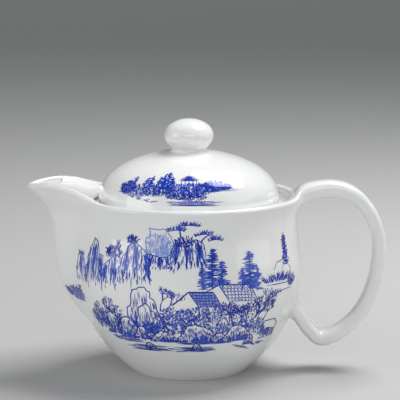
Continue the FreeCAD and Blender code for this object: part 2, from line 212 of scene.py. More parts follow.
def lip_height(turn):
    """The height of the lip in each direction: level on the rim, rising to a crest on the beak."""
    height = np.full_like(turn, rim_height)
    for _ in range(12):
        reach = np.array([outer_radius(np.array([t]), h)[0] for t, h in zip(turn, height)])
        height = np.interp(-reach * np.cos(turn), lip_line[:, 0], lip_line[:, 1])
    return height


# Columns stand closer together where the lip turns sharply round the beak's tip
pot_columns = 300
tip_crowding = 3.0
fine = np.linspace(-np.pi, np.pi, 2001)
fine_radius = outer_radius(fine, beak_tip_height)
step = np.hypot(np.diff(fine_radius), fine_radius[1:] * np.diff(fine))
middle = (fine[1:] + fine[:-1]) / 2
step *= 1 + tip_crowding * np.exp(-(middle / 0.12) ** 2)
walked = np.concatenate([[0], np.cumsum(step)])
pot_turn = np.interp(np.linspace(0, walked[-1], pot_columns, endpoint=False), walked, fine)
pot_lip = lip_height(pot_turn)

stretch_from = 66.0     # rows are level below this height, and spread up to the lip above it
low_heights = np.concatenate([np.linspace(0.35, 9, 10), np.linspace(10.2, stretch_from, 52)])
climbs = np.linspace(0, 1, 22)[1:]
under = eased(
    [(0, foot_recess), (foot_inner - foot_recess, foot_recess), (foot_inner, 0), (foot_outer, 0)], foot_ease
)
under = np.vstack([under, [(foot_outer + 0.12, 0.1)]])
bare_foot = [i for i in range(len(under) - 1) if under[i][1] < 0.4 and under[i + 1][1] < 0.4]


def pot_ring(radius, height):
    return np.stack([-radius * np.cos(pot_turn), -radius * np.sin(pot_turn), height + 0 * pot_turn], -1)


def pot_level(reach, climb):
    """One ring of the wall above the level rows, with its own height in each direction."""
    height = stretch_from + (pot_lip - lip_half - stretch_from) * climb
    radius = np.array([reach(np.array([t]), h)[0] for t, h in zip(pot_turn, height)])
    return radius, height


pot_rings = [pot_ring(radius, height) for radius, height in under]
pot_rings += [pot_ring(outer_radius(pot_turn, height), height) for height in low_heights]
outer_levels = [pot_level(outer_radius, climb) for climb in climbs]
inner_levels = [pot_level(inner_radius, climb) for climb in climbs]
pot_rings += [pot_ring(*level) for level in outer_levels]
lip_out, lip_level = outer_levels[-1]
lip_in = inner_levels[-1][0]
for bend in np.linspace(0, np.pi, 11)[1:-1]:
    radius = (lip_out + lip_in) / 2 + (lip_out - lip_in) / 2 * math.cos(bend)
    pot_rings.append(pot_ring(radius, lip_level + lip_half * math.sin(bend)))
pot_rings += [pot_ring(*level) for level in reversed(inner_levels)]
inside_heights = low_heights[low_heights > floor_height + 0.4]
pot_rings += [pot_ring(inner_radius(pot_turn, height), height) for height in reversed(inside_heights)]
pot_rings += [pot_ring(radius, floor_height) for radius in (foot_inner, 16.0, 8.0, 0.0)]
pot = skin("porcelain_pot", np.array(pot_rings), bare_foot)


def add_node(tree, kind, inputs=None, **settings):
    """A node with its settings, and its inputs as plain values or as sockets to join."""
    made = tree.nodes.new(kind)
    for key, value in settings.items():
        setattr(made, key, value)
    for key, value in (inputs or {}).items():
        if isinstance(value, bpy.types.NodeSocket):
            tree.links.new(value, made.inputs[key])
        else:
            made.inputs[key].default_value = value
    return made


def noise(tree, where, scale, detail=2.0, roughness=0.5):
    settings = {"Vector": where, "Scale": scale, "Detail": detail, "Roughness": roughness}
    return add_node(tree, "ShaderNodeTexNoise", settings).outputs["Fac"]


def spread(tree, value, low, high, to_low, to_high):
    """A value mapped from one range onto another, and held there."""
    limits = {"Value": value, "From Min": low, "From Max": high, "To Min": to_low, "To Max": to_high}
    return add_node(tree, "ShaderNodeMapRange", limits).outputs["Result"]


def blended(tree, share, first, second):
    mix = add_node(tree, "ShaderNodeMix", {"Factor": share}, data_type="RGBA")
    for socket, colour in (("A", first), ("B", second)):
        wanted = [s for s in mix.inputs if s.name == socket and s.type == "RGBA"][0]
        if isinstance(colour, bpy.types.NodeSocket):
            tree.links.new(colour, wanted)
        else:
            wanted.default_value = (*colour, 1)
    return [s for s in mix.outputs if s.type == "RGBA"][0]


def glaze_group():
    """How a fired clear glaze varies: its thickness, its faintly dimpled skin and stray iron specks."""
    group = bpy.data.node_groups.new("fired_glaze", "ShaderNodeTree")
    where = add_node(group, "ShaderNodeTexCoord").outputs["Object"]
    pools = noise(group, where, 26.0, 3.0)
    drift = noise(group, where, 70.0, 2.0)
    dimples = noise(group, where, 420.0, 1.0)
    grains = add_node(group, "ShaderNodeTexVoronoi", {"Vector": where, "Scale": 62.0}).outputs["Distance"]
    chance = noise(group, where, 45.0, 0.0)
    dots = spread(group, grains, 0.018, 0.034, 1.0, 0.0)
    rare = spread(group, chance, 0.66, 0.68, 0.0, 1.0)
    specks = add_node(group, "ShaderNodeMath", {0: dots, 1: rare}, operation="MULTIPLY").outputs[0]
    given = {"Thickness": pools, "Gloss Loss": drift, "Dimples": dimples, "Specks": specks}
    for name in given:
        group.interface.new_socket(name, in_out="OUTPUT", socket_type="NodeSocketFloat")
    add_node(group, "NodeGroupOutput", given)
    return group


fired_glaze = glaze_group()


def fresh_finish(name):
    """A new material, with its node tree and its surface shader."""
    material = bpy.data.materials.new(name)
    material.use_nodes = True
    return material, material.node_tree, material.node_tree.nodes["Principled BSDF"]


def roughen(tree, shader, height, strength, depth):
    """Bumps on the surface, from a value that stands for their height."""
    bump = add_node(tree, "ShaderNodeBump", {"Height": height, "Strength": strength, "Distance": depth})
    tree.links.new(bump.outputs["Normal"], shader.inputs["Normal"])


def sealed(tree, shader, effect, coat):
    """The clear glaze on top: its gloss, how strongly it bends light, and its skin."""
    gloss = spread(tree, effect.outputs["Gloss Loss"], 0.3, 0.7, 0.05, 0.1)
    tree.links.new(gloss, shader.inputs["Roughness"])
    shader.inputs["IOR"].default_value = 1.52
    shader.inputs["Coat Weight"].default_value = coat
    shader.inputs["Coat Roughness"].default_value = 0.03


def glazed(name, thin, thick):
    """Glossy porcelain: a white body under clear glaze that is a shade cooler where it lies thicker."""
    material, tree, shader = fresh_finish(name)
    effect = add_node(tree, "ShaderNodeGroup", node_tree=fired_glaze)
    share = spread(tree, effect.outputs["Thickness"], 0.35, 0.68, 0.0, 1.0)
    tint = blended(tree, share, thin, thick)
    speck_colour = (0.42, 0.36, 0.28)
    tree.links.new(blended(tree, effect.outputs["Specks"], tint, speck_colour), shader.inputs["Base Color"])
    roughen(tree, shader, effect.outputs["Dimples"], 0.25, 0.00003)
    sealed(tree, shader, effect, 0.25)
    return material


def bare_clay(name):
    """Unglazed fired porcelain: chalky, faintly warm, and grey where it has stood."""
    material, tree, shader = fresh_finish(name)
    where = add_node(tree, "ShaderNodeTexCoord").outputs["Object"]
    stain = spread(tree, noise(tree, where, 190.0, 5.0, 0.65), 0.38, 0.7, 0.0, 1.0)
    tree.links.new(blended(tree, stain, (0.74, 0.71, 0.66), (0.52, 0.49, 0.45)), shader.inputs["Base Color"])
    grain = noise(tree, where, 2600.0, 3.0)
    tree.links.new(spread(tree, grain, 0.3, 0.7, 0.62, 0.82), shader.inputs["Roughness"])
    roughen(tree, shader, grain, 0.5, 0.0001)
    return material


white_glaze = glazed("white_glaze", (0.83, 0.83, 0.815), (0.79, 0.8, 0.8))
pot.data.materials.append(white_glaze)
pot.data.materials.append(bare_clay("bare_foot_ring"))
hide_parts("pot_body", "pouring_beak")
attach(pot, "pot")

# Beak web
# The porcelain web that closes the top of the beak, from the pot's mouth out to the pouring hole. It is
# pressed in between the beak's walls while the clay is soft, and swept up to them in a cove.
web_low, web_high = corners("beak_bridge")
web_thickness = 2.6
web_inner = 43.4        # in the middle; at its ends the web starts at the mouth's wall
web_corner = 52.5
web_corner_bend = 6     # how late the inner edge turns out to those corners
web_outer = -web_low[0] + 2.0
web_line = drawn_line([(web_inner, 80.6), (49, 81.9), (54.5, 84.2), (web_outer, web_high[2] + 0.4)])
web_fillet, web_fillet_rise = 5.5, 1.9
web_embed = 1.8         # the web's ends run into the beak's walls
web_columns = 40
web_ease, web_roundness = 0.08, 0.75   # the share of the reach at each rounded edge, and how round that is


def web_point(along, edge, share):
    """A point of the web: along its reach, up or down its rounded edge, and across from wall to wall."""
    start = web_inner + (web_corner - web_inner) * share ** web_corner_bend
    reach = np.interp(along, [0, 1], [start, web_outer]) + edge[0]
    crown = np.interp(reach, web_line[:, 0], web_line[:, 1])
    angle, radius = beak_edge(crown, beak_wall)
    side = np.interp(-reach, -radius, angle)
    turn = share * (side + web_embed / reach)
    gap = max(reach * (side - abs(turn)), 0)
    fillet = web_fillet_rise * max(1 - gap / web_fillet, 0) ** 2
    height = crown + (edge[1] - 1) * web_thickness / 2 + max(edge[1], 0) * fillet
    return -reach * math.cos(turn), -reach * math.sin(turn), height


web_edge = web_thickness / 2 * web_roundness
web_rows = np.linspace(web_ease, 1 - web_ease, 14)
web_bends = np.linspace(np.pi / 2, -np.pi / 2, 9)[1:-1]
web_loop = [(along, (0, 1)) for along in web_rows]
web_loop += [(1 - web_ease, (web_edge * math.cos(bend), math.sin(bend))) for bend in web_bends]
web_loop += [(along, (0, -1)) for along in web_rows[::-1]]
web_loop += [(web_ease, (-web_edge * math.cos(bend), -math.sin(bend))) for bend in web_bends]
web_shares = np.linspace(-1, 1, web_columns)
web_rings = np.array([[web_point(*corner, share) for corner in web_loop] for share in web_shares])
web_ends = [np.repeat(web_rings[i].mean(0)[None], len(web_loop), 0)[None] for i in (0, -1)]
web = skin("beak_web", np.concatenate([web_ends[0], web_rings, web_ends[1]]))
web.data.materials.append(white_glaze)
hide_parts("beak_bridge")
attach(web, "pot")

# Seat ring
# The porcelain ledge inside the neck that carries the strainer and the lid. It is luted to the wall,
# and its bore is sponged round.
seat_low, seat_high = corners("seat_ring")
seat_bore = 37.0
seat_embed = 0.5
seat_cove = 5.2         # the slip is swept up into a cove against the wall
seat_outer = seat_high[0] + seat_embed
seat_profile = [(seat_outer, seat_low[2]), (seat_bore, seat_low[2]), (seat_bore, seat_high[2]),
                (seat_outer, seat_high[2])]
seat_sweep = [(seat_outer - seat_cove * (1 - math.sin(t)), seat_high[2] + seat_cove * (1 - math.cos(t)))
              for t in np.linspace(0, np.pi / 2, 12)]
seat_profile = np.vstack([eased(seat_profile, 0.9)[:-1], seat_sweep, [seat_profile[0]]])
seat = turned("seat_ledge", seat_profile)
seat.data.materials.append(white_glaze)
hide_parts("seat_ring")
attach(seat, "pot")

# Handle
# A flat porcelain strap pulled to a loop and luted to the pot, with its roots drawn out and smoothed
# onto the wall: the upper one runs into the rim, and the lower one meets the belly at a slant.
strap_half_width = 6.8
strap_squareness = 3.0
root_spread, flare_length = 0.4, 20.0
# The strap's middle line: distances from the axis, heights, and half the strap's thickness
loop = drawn_line(
    [(46.5, 79.2, 5.4), (51.5, 81.2, 5.0), (59.8, 83.7, 4.3), (66.8, 84.2, 4.1), (74, 82.3, 3.8),
     (81.2, 76.1, 3.5), (86.3, 66.5, 3.3), (87.6, 54, 3.1), (85.2, 40.1, 3.1), (79.2, 26.6, 3.2),
     (70.8, 18.1, 3.3), (65.4, 15.2, 3.5), (60.3, 14.6, 3.6), (56.5, 17.4, 3.4), (51.3, 25.0, 3.6),
     (46.2, 33.4, 4.6)], 900
)
loop_sides = 44
strap_turn = np.linspace(0, 2 * np.pi, loop_sides, endpoint=False)
loop_along = np.gradient(loop[:, :2], axis=0)
loop_along /= np.linalg.norm(loop_along, axis=1)[:, None]
loop_walk = np.concatenate([[0], np.cumsum(np.linalg.norm(np.diff(loop[:, :2], axis=0), axis=1))])
upper_free, lower_free = 10.0, 11.0   # where the plain strap ends and each root begins, along the loop


def strap_ring(walk):
    """The strap's rounded section at a distance along the loop, and the loop's direction there."""
    *centre, half_thickness = [np.interp(walk, loop_walk, loop[:, i]) for i in (0, 1, 2)]
    along = np.array([np.interp(walk, loop_walk, loop_along[:, i]) for i in (0, 1)])
    along /= np.linalg.norm(along)
    near = max(0, 1 - min(walk, loop_walk[-1] - walk) / flare_length) ** 2
    power = 2 / strap_squareness
    out = np.sign(np.cos(strap_turn)) * np.abs(np.cos(strap_turn)) ** power
    side = np.sign(np.sin(strap_turn)) * np.abs(np.sin(strap_turn)) ** power
    out = out * half_thickness
    side = side * strap_half_width * (1 + root_spread * near)
    ring = np.stack([centre[0] - out * along[1], side, centre[1] + out * along[0]], -1)
    return ring, np.array([along[0], 0, along[1]])


lip_arc = [(rim_radius - lip_half + lip_half * math.cos(t), rim_edge + lip_half * math.sin(t))
           for t in np.linspace(0, np.pi * 0.9, 60)]
pot_side = np.vstack([outline, lip_arc[1:]])
pot_side_walk = np.concatenate([[0], np.cumsum(np.linalg.norm(np.diff(pot_side, axis=0), axis=1))])
rim_crest = pot_side_walk[len(outline) - 1] + lip_half * np.pi / 2


def on_pot(walk, across):
    """A point of the pot's outside beside the handle: up its side by a walk, and across round the axis."""
    radius = np.interp(walk, pot_side_walk, pot_side[:, 0])
    height = np.interp(walk, pot_side_walk, pot_side[:, 1])
    return np.stack([radius * np.cos(across / rim_radius), radius * np.sin(across / rim_radius), height], -1)


def root_rings(ring, along, middle, reach_up, reach_down, reach_side, outward, fullness=0.0, steps=14):
    """Rings that carry the strap onto the pot: each line of it bends over and lies down on the wall."""
    up = np.where(np.cos(strap_turn) * outward > 0, reach_up, reach_down)
    walk = middle + outward * np.cos(strap_turn) * up
    across = reach_side * np.sin(strap_turn) * (1 + fullness * np.cos(strap_turn))
    landing = on_pot(walk, across)
    small = 0.02
    beyond = on_pot(walk + small * outward * np.cos(strap_turn), across + small * np.sin(strap_turn))
    away = (beyond - landing) / np.linalg.norm(beyond - landing, axis=1)[:, None]
    length = np.linalg.norm(landing - ring, axis=1)[:, None]
    first = ring + along * length * 0.5
    second = landing - away * length * 0.36
    rings = []
    for t in np.linspace(0, 1, steps)[1:]:
        leaving = (1 - t) ** 3 * ring + 3 * t * (1 - t) ** 2 * first
        rings.append(leaving + 3 * t * t * (1 - t) * second + t ** 3 * landing)
    inward = np.stack([-landing[:, 0], -landing[:, 1], 0 * landing[:, 2]], -1)
    inward /= np.linalg.norm(inward, axis=1)[:, None]
    core = on_pot(np.array(middle), np.array(0.0)) - np.array([wall / 2, 0, 0])
    rings.append(landing + away * 0.4 + inward * 0.12)
    rings.append(landing * 0.7 + core * 0.3 + inward * wall * 0.3)
    rings.append(np.repeat(core[None], loop_sides, 0))
    return rings


handle_walks = np.linspace(upper_free, loop_walk[-1] - lower_free, 110)
strap = [strap_ring(walk) for walk in handle_walks]
upper_height, lower_height = 77.2, 31.0
past_crest = 1.8
upper_middle = np.interp(upper_height, outline[:, 1], pot_side_walk[:len(outline)])
lower_middle = np.interp(lower_height, outline[:, 1], pot_side_walk[:len(outline)])
upper_reach = rim_crest + past_crest - upper_middle
upper_root = root_rings(strap[0][0], -strap[0][1], upper_middle, upper_reach, 4.6, 19.0, 1)
lower_root = root_rings(strap[-1][0], strap[-1][1], lower_middle, 10.0, 9.0, 12.0, -1, 0.3)
handle_rings = upper_root[::-1] + [ring for ring, _ in strap] + lower_root
handle = skin("loop_handle", np.array(handle_rings))
handle.data.materials.append(white_glaze)
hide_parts("handle")
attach(handle, "pot")

# Painting on the pot
# A landscape in underglaze cobalt: crags in mist, firs, cottages and a rocky shore. It is printed on a
# sheet, which is laid on the body, once on the front and once on the back, and the glaze seals it in.
brush_marks = []
hand = random.Random(7)


def brush(points, width, tone, start=0.35, end=0.12):
    """One mark of the brush: its middle line on the sheet, how wide it swells and how dark the ink is."""
    line = np.array(points, float)
    t = np.linspace(0, 1, len(line))
    swell = np.interp(t, [0, 0.35, 0.7, 1], [start, 1, 0.85, end]) * width
    brush_marks.append((line, swell, min(max(tone, 0), 1)))


def bent(a, b, sway, steps=5):
    """A line from one point to another with a shaky bend in it."""
    a, b = np.array(a, float), np.array(b, float)
    across = np.array([a[1] - b[1], b[0] - a[0]]) / max(np.linalg.norm(b - a), 0.01)
    lean = hand.uniform(-sway, sway)
    shake = sway * 0.35
    return [a + (b - a) * t + across * (lean * math.sin(math.pi * t) + hand.uniform(-shake, shake))
            for t in np.linspace(0, 1, steps)]


def leaves(middle, half_width, half_height, count, length, tone, spread_angle=1.0, width=0.5):
    """Short dabs that fan up and outwards from a clump's foot."""
    for _ in range(count):
        turn = hand.uniform(0, 2 * math.pi)
        reach = math.sqrt(hand.random())
        x = middle[0] + half_width * reach * math.cos(turn)
        y = middle[1] + half_height * reach * math.sin(turn)
        lean = math.pi / 2 - spread_angle * (x - middle[0]) / max(half_width, 0.1) + hand.gauss(0, 0.45)
        size = length * hand.uniform(0.6, 1.25)
        tip = (x + size * math.cos(lean), y + size * math.sin(lean))
        dab = bent((x, y), tip, size * 0.12, 3)
        brush(dab, width * hand.uniform(0.7, 1.2), tone + hand.uniform(-0.25, 0.2))


def reeds(foot, half_width, count, height, tone):
    """Long blades that fan out from the ground."""
    for _ in range(count):
        x = foot[0] + hand.uniform(-half_width, half_width)
        lean = math.pi / 2 - 0.75 * (x - foot[0]) / half_width + hand.gauss(0, 0.22)
        size = height * hand.uniform(0.45, 1.1)
        tip = (x + size * math.cos(lean), foot[1] + size * math.sin(lean))
        brush(bent((x, foot[1]), tip, size * 0.14, 4), 0.42, tone + hand.uniform(-0.2, 0.15))


def rubbed_out(border):
    """Clears the sheet inside a border, so that what is drawn next stands in front."""
    border = np.array(border, float)
    after = np.roll(border, -1, 0)
    kept = []
    for mark in brush_marks:
        x, y = mark[0][len(mark[0]) // 2]
        crosses = (border[:, 1] > y) != (after[:, 1] > y)
        rise = np.where(after[:, 1] == border[:, 1], 1, after[:, 1] - border[:, 1])
        meets = border[:, 0] + (y - border[:, 1]) / rise * (after[:, 0] - border[:, 0])
        if not (crosses & (x < meets)).sum() % 2:
            kept.append(mark)
    brush_marks[:] = kept


def roughened(points, amount, steps=3):
    """A contour with small steps and notches between its points."""
    points = np.array(points, float)
    places = np.linspace(0, len(points) - 1, (len(points) - 1) * steps + 1)
    line = np.stack([np.interp(places, np.arange(len(points)), points[:, i]) for i in (0, 1)], -1)
    return line + [[hand.uniform(-amount, amount), hand.uniform(-amount, amount)] for _ in line]


def cliff(crest, foot, pitch, tone, folds):
    """A crag: a jagged crest, and long strokes down its folds that break off in the mist."""
    crest = roughened(crest, 0.35)
    left, right = crest[0][0], crest[-1][0]
    crest = crest[np.argsort(crest[:, 0])]
    rubbed_out(list(crest) + [(right, foot + 2), (left, foot + 2)])
    phase = hand.uniform(0, 2 * math.pi)

    def seen_at(x):
        return (np.interp(x, crest[:, 0], crest[:, 1]),
                0.5 + 0.5 * math.sin(2 * math.pi * folds * (x - left) / (right - left) + phase))

    for x in np.arange(left + 0.6, right, 0.55):
        top, fold = seen_at(x)
        if fold > 0.4:
            start = top - (top - foot) * hand.uniform(0, 0.3)
            end = top - (top - foot) * hand.uniform(0.5, 0.95)
            lean = 0.2 * (x - (left + right) / 2)
            brush(bent((x, start), (x + lean * 0.8, end), 0.4, 6), 0.9, 0.2 + 0.35 * fold, 0.5, 0.1)
    for x in np.arange(left + 0.3, right, pitch):
        x += hand.uniform(-0.2, 0.2)
        top, fold = seen_at(x)
        lean = 0.2 * (x - (left + right) / 2) + hand.gauss(0, 0.35)
        drop = hand.uniform(0, 0.35) * (1.2 - fold)
        while drop < 0.9:
            fall = hand.uniform(0.18, 0.5) * (0.5 + 0.6 * fold)
            start = (x + lean * drop, top - (top - foot) * drop)
            low = min(drop + fall, hand.uniform(0.85, 1.12))
            line = bent(start, (x + lean * (drop + fall), top - (top - foot) * low), 0.45, 6)
            brush(line, hand.uniform(0.34, 0.5) + 0.22 * fold, tone * (0.7 + 0.45 * fold), 0.6, 0.1)
            drop += fall + hand.uniform(0.06, 0.3) * (1.3 - fold)
    brush(crest, 0.5, tone + 0.1, 0.7, 0.6)
    for share in np.linspace(0.12, 0.88, int(folds * 2)):
        x = left + (right - left) * (share + hand.uniform(-0.06, 0.06))
        top = seen_at(x)[0]
        end = (x + 0.2 * (x - (left + right) / 2), foot + (top - foot) * hand.uniform(0.02, 0.45))
        brush(bent((x, top), end, 0.9, 8), 0.5, tone, 0.9, 0.15)


peak = [(0, 0), (0.05, 0.3), (0.12, 0.52), (0.2, 0.88), (0.3, 0.93), (0.42, 1), (0.56, 0.98), (0.68, 0.8),
        (0.8, 0.66), (0.9, 0.34), (1, 0)]
hump = [(0, 0), (0.05, 0.3), (0.15, 0.52), (0.24, 0.88), (0.4, 1), (0.55, 0.9), (0.7, 0.74), (0.86, 0.42),
        (1, 0)]
block = [(0.1, 0), (0.0, 0.3), (0.03, 0.62), (0.14, 0.68), (0.16, 0.98), (0.42, 1), (0.75, 0.97),
         (0.93, 0.72), (1, 0.42), (0.9, 0)]


def boulder(left, right, foot, height, form, tone):
    """A rock: an angular contour, bare on its lit shoulder and combed with strokes down to its foot."""
    width = right - left
    contour = roughened([(left + width * x, foot + height * y) for x, y in form], 0.045 * height)
    rubbed_out(contour)
    across = contour[np.argsort(contour[:, 0])]
    for _ in range(int(width * 1.3)):
        x = left + width * hand.betavariate(1.5, 1.1)
        top = np.interp(x, across[:, 0], across[:, 1])
        rise = (top - foot) * hand.uniform(0.2, 0.35 + 0.4 * (x - left) / width)
        brush(bent((x, foot + rise), (x + hand.gauss(0, 0.4), foot), 0.2, 3), 1.4, tone * 0.7, 0.3, 0.9)
    for x in np.arange(left + 0.4, right - 0.2, min(0.52, width / 10)):
        place = (x - left) / width
        top = np.interp(x, across[:, 0], across[:, 1])
        lean = 0.55 * (place - 0.4) * height * 0.5
        bare = hand.uniform(0.08, 0.5) * (1.25 - 0.8 * place)
        while bare < 0.92:
            fall = hand.uniform(0.16, 0.42)
            start = (x + lean * bare, top - (top - foot) * bare)
            end = (x + lean * (bare + fall), top - (top - foot) * min(bare + fall, 1))
            thick = hand.uniform(0.36, 0.58) * (0.65 + 0.3 * bare + 0.25 * place)
            brush(bent(start, end, 0.2, 4), thick, tone * hand.uniform(0.85, 1.25), 0.3, 0.35)
            bare += fall + hand.uniform(0.02, 0.12)
    brush(contour, 0.56, tone + 0.15, 0.8, 0.8)


def fir(foot, height, half_width, tone):
    """A tall conifer: a straight stem and tiers of level strokes, short at the top."""
    brush(bent(foot, (foot[0], foot[1] + height), 0.25, 6), 0.65, tone + 0.15, 0.9, 0.3)
    tiers = int(height / 0.8)
    for tier in range(tiers):
        share = 1 - tier / tiers
        y = foot[1] + height * (0.06 + 0.93 * tier / tiers)
        for _ in range(hand.choice((3, 5, 6, 8))):
            reach = half_width * (0.4 + 0.6 * share) * hand.uniform(0.25, 1.25)
            way = hand.choice((-1, 1))
            start = (foot[0] - 0.15 * way * reach, y + hand.uniform(-0.25, 0.25))
            end = (foot[0] + way * reach, y + hand.uniform(-0.5, 0.15))
            bough = bent(start, end, 0.18, 4)
            brush(bough, hand.uniform(0.4, 0.75), tone * hand.uniform(0.65, 1.1), 0.5, 0.1)


def pine_tuft(left, right, level, arch, rows, tone):
    """A flat crown of pine needles: a bough with short needles that stand up from it."""
    middle, half = (left + right) / 2, (right - left) / 2
    bough = [(x, level + arch * (1 - ((x - middle) / half) ** 2)) for x in np.linspace(left, right, 7)]
    brush(bough, 0.6, tone, 0.4, 0.2)
    for _ in range(int(rows * half * 9)):
        x = hand.uniform(left, right)
        y = level + arch * (1 - ((x - middle) / half) ** 2) + hand.uniform(-0.2, 0.9) * rows * 0.6
        lean = math.pi / 2 - 0.9 * (x - middle) / half + hand.gauss(0, 0.35)
        size = hand.uniform(0.9, 1.8)
        brush([(x, y), (x + size * math.cos(lean), y + size * math.sin(lean))], 0.42,
              tone + hand.uniform(-0.25, 0.15), 0.9, 0.2)


def twigs(foot, height, lean, depth, tone, leafy):
    """A bare tree: forked twigs, each shorter than its parent, with small leaves at the ends."""
    tip = (foot[0] + height * math.cos(lean), foot[1] + height * math.sin(lean))
    brush(bent(foot, tip, height * 0.12, 4), 0.3 + 0.13 * depth, tone, 0.9, 0.5)
    if depth == 0:
        leaves(tip, 1.0, 0.8, leafy, 1.0, tone, 0.6, 0.48)
        return
    for turn in (-0.55, 0.1, 0.6):
        shorter = height * hand.uniform(0.55, 0.8)
        twigs(tip, shorter, lean + turn + hand.gauss(0, 0.15), depth - 1, tone, leafy)


def cottage(apex, ridge, eave, gable, courses, ranks, tone, wash):
    """A cottage seen on its corner: a plain gable, and a roof slope ruled with tiles."""
    apex, ridge, eave, gable = (np.array(p, float) for p in (apex, ridge, eave, gable))
    lower = eave + (ridge - apex) * 0.97
    rubbed_out([apex, ridge, lower, eave, gable])
    for share in np.linspace(0.08, 0.92, courses * 2 if wash else 0):
        start, end = apex + (eave - apex) * share, ridge + (lower - ridge) * share
        brush([start, (start + end) / 2, end], 0.5, wash, 0.9, 0.9)
    brush(bent(apex, ridge, 0.1), 0.7, tone, 0.8, 0.8)
    brush(bent(apex, gable, 0.12), 0.65, tone, 0.9, 0.5)
    brush(bent(apex, eave, 0.12), 0.6, tone, 0.9, 0.6)
    brush(bent(ridge, lower, 0.12), 0.5, tone, 0.8, 0.6)
    for i in range(1, courses + 1):
        share = i / courses
        course = bent(apex + (eave - apex) * share, ridge + (lower - ridge) * share, 0.14)
        brush(course, 0.4, tone * 0.9, 0.7, 0.5)
    for i in range(1, ranks):
        share = i / ranks
        for j in range(courses):
            stagger = 0.5 / ranks * (j % 2)
            top = apex + (ridge - apex) * (share - stagger) + (eave - apex) * j / courses
            bottom = apex + (ridge - apex) * (share - stagger) + (eave - apex) * (j + 1) / courses
            brush(bent(top, bottom, 0.08, 3), 0.36, tone * 0.85, 0.8, 0.6)
    for i in range(int(ranks * courses * 0.8)):
        share, j = hand.random(), hand.randrange(courses)
        start = apex + (ridge - apex) * share + (eave - apex) * (j + 0.5) / courses
        brush([start, start + (ridge - apex) * 0.05], 0.45, tone * 0.7, 0.8, 0.5)


def ripples(middle, half, level_spread, count, tone):
    """Still water: level strokes, one under the other, that thin out to both sides."""
    pitch = 0.42
    levels = max(int(2 * level_spread / pitch), 1)
    for i in range(count):
        x = middle[0] + half * hand.triangular(-0.8, 0.8, 0)
        y = middle[1] + pitch * (i % (levels + 1) - levels / 2)
        size = half * hand.uniform(0.08, 0.34)
        line = bent((x - size, y), (x + size, y), 0.1, 5)
        brush(line, hand.uniform(0.22, 0.42), tone * hand.uniform(0.6, 1.1), 0.1, 0.1)


def tower(foot, height, tone):
    """A slim tower on the far bank: short eaves, one over the other, on thin walls."""
    x, ground = foot
    tiers = 9
    for tier in range(tiers):
        share = tier / tiers
        y = ground + height * share
        half = 1.5 * (1 - 0.55 * share)
        tips = (x - half - 0.5, y + 0.35), (x + half + 0.6, y + 0.45)
        brush([tips[0], (x - half * 0.5, y), (x + half * 0.5, y), tips[1]], 0.5, tone, 0.4, 0.3)
        for side in (-0.7, 0.05, 0.7):
            start, end = (x + half * side, y), (x + half * side * 0.9, y + height / tiers)
            brush(bent(start, end, 0.1, 3), 0.45, tone * 0.85, 0.9, 0.8)
        leaves((x, y + 0.8), half, 0.7, 4, 0.8, tone, 0.6, 0.4)
    top = ground + height
    brush([(x, top), (x + 0.1, top + 2.0)], 0.4, tone, 0.9, 0.2)
    brush([(x + 0.1, top + 1.2), (x + 1.2, top + 0.9)], 0.4, tone, 0.9, 0.2)


# Far crags and their pines, from the beak round to the middle of the pot
ink, deep, pale = 0.8, 1.0, 0.22
cliff([(-66, 50), (-64.5, 55), (-62, 57), (-59.5, 54.5), (-57, 49)], 43.5, 0.75, ink, 2.0)
pine_tuft(-64.5, -59.5, 55.8, 0.5, 0.8, ink)
cliff([(-56.5, 55), (-54.5, 60), (-51, 65.3), (-48.6, 63.6), (-46.5, 58.5), (-44, 58), (-42.5, 52)],
      43, 0.72, ink, 3.0)
leaves((-37.5, 60), 4.6, 2.8, 150, 1.7, deep, 0.8, 0.6)
leaves((-34.5, 63), 1.2, 2.2, 22, 2.0, deep, 0.4, 0.6)
cliff([(-42.5, 54), (-39.5, 57), (-35.5, 59.5), (-32.5, 58)], 45, 0.85, ink * 0.85, 2.0)
cliff([(-33.5, 56), (-30.5, 61), (-28.5, 65), (-25.5, 66), (-23, 64.5), (-20.5, 62.5), (-18, 58)],
      47.5, 0.62, ink, 3.2)
leaves((-27.3, 66.4), 2.2, 1.7, 60, 1.9, deep, 0.5, 0.65)
boulder(-20.5, -7.6, 60.6, 12.2, block, pale)
leaves((-14.0, 65.0), 5.4, 4.6, 70, 1.6, 0.05, 1.6, 0.5)
leaves((-14.0, 65.4), 5.4, 4.8, 44, 1.8, 0.42, 1.6, 0.3)
cliff([(-20.5, 61.5), (-17, 61), (-12, 60.2), (-8, 61.5)], 54.5, 0.7, ink, 3.0)
cliff([(-9.5, 61), (-7, 66), (-4.5, 70), (-2, 66.5), (2, 68), (5.5, 67), (7, 62)], 54.5, 0.58, ink, 3.4)
leaves((-2.5, 66.5), 4.5, 2.4, 70, 1.6, deep, 0.6, 0.6)
brush(bent((-4.2, 69), (-4.8, 74.2), 0.4), 0.75, ink, 0.9, 0.6)
brush(bent((-4.6, 72.4), (-1.8, 74.6), 0.3), 0.5, ink, 0.9, 0.4)
pine_tuft(-10, -2, 71.6, 0.9, 1.6, ink)
pine_tuft(-5.5, 4.2, 73.8, 0.9, 1.5, ink)
brush(bent((4.5, 67), (9.5, 70.4), 0.5), 0.65, ink, 0.9, 0.5)
pine_tuft(2.5, 10.5, 69.6, 1.0, 1.5, ink)
pine_tuft(8.0, 14.8, 67.2, 0.9, 1.6, ink)

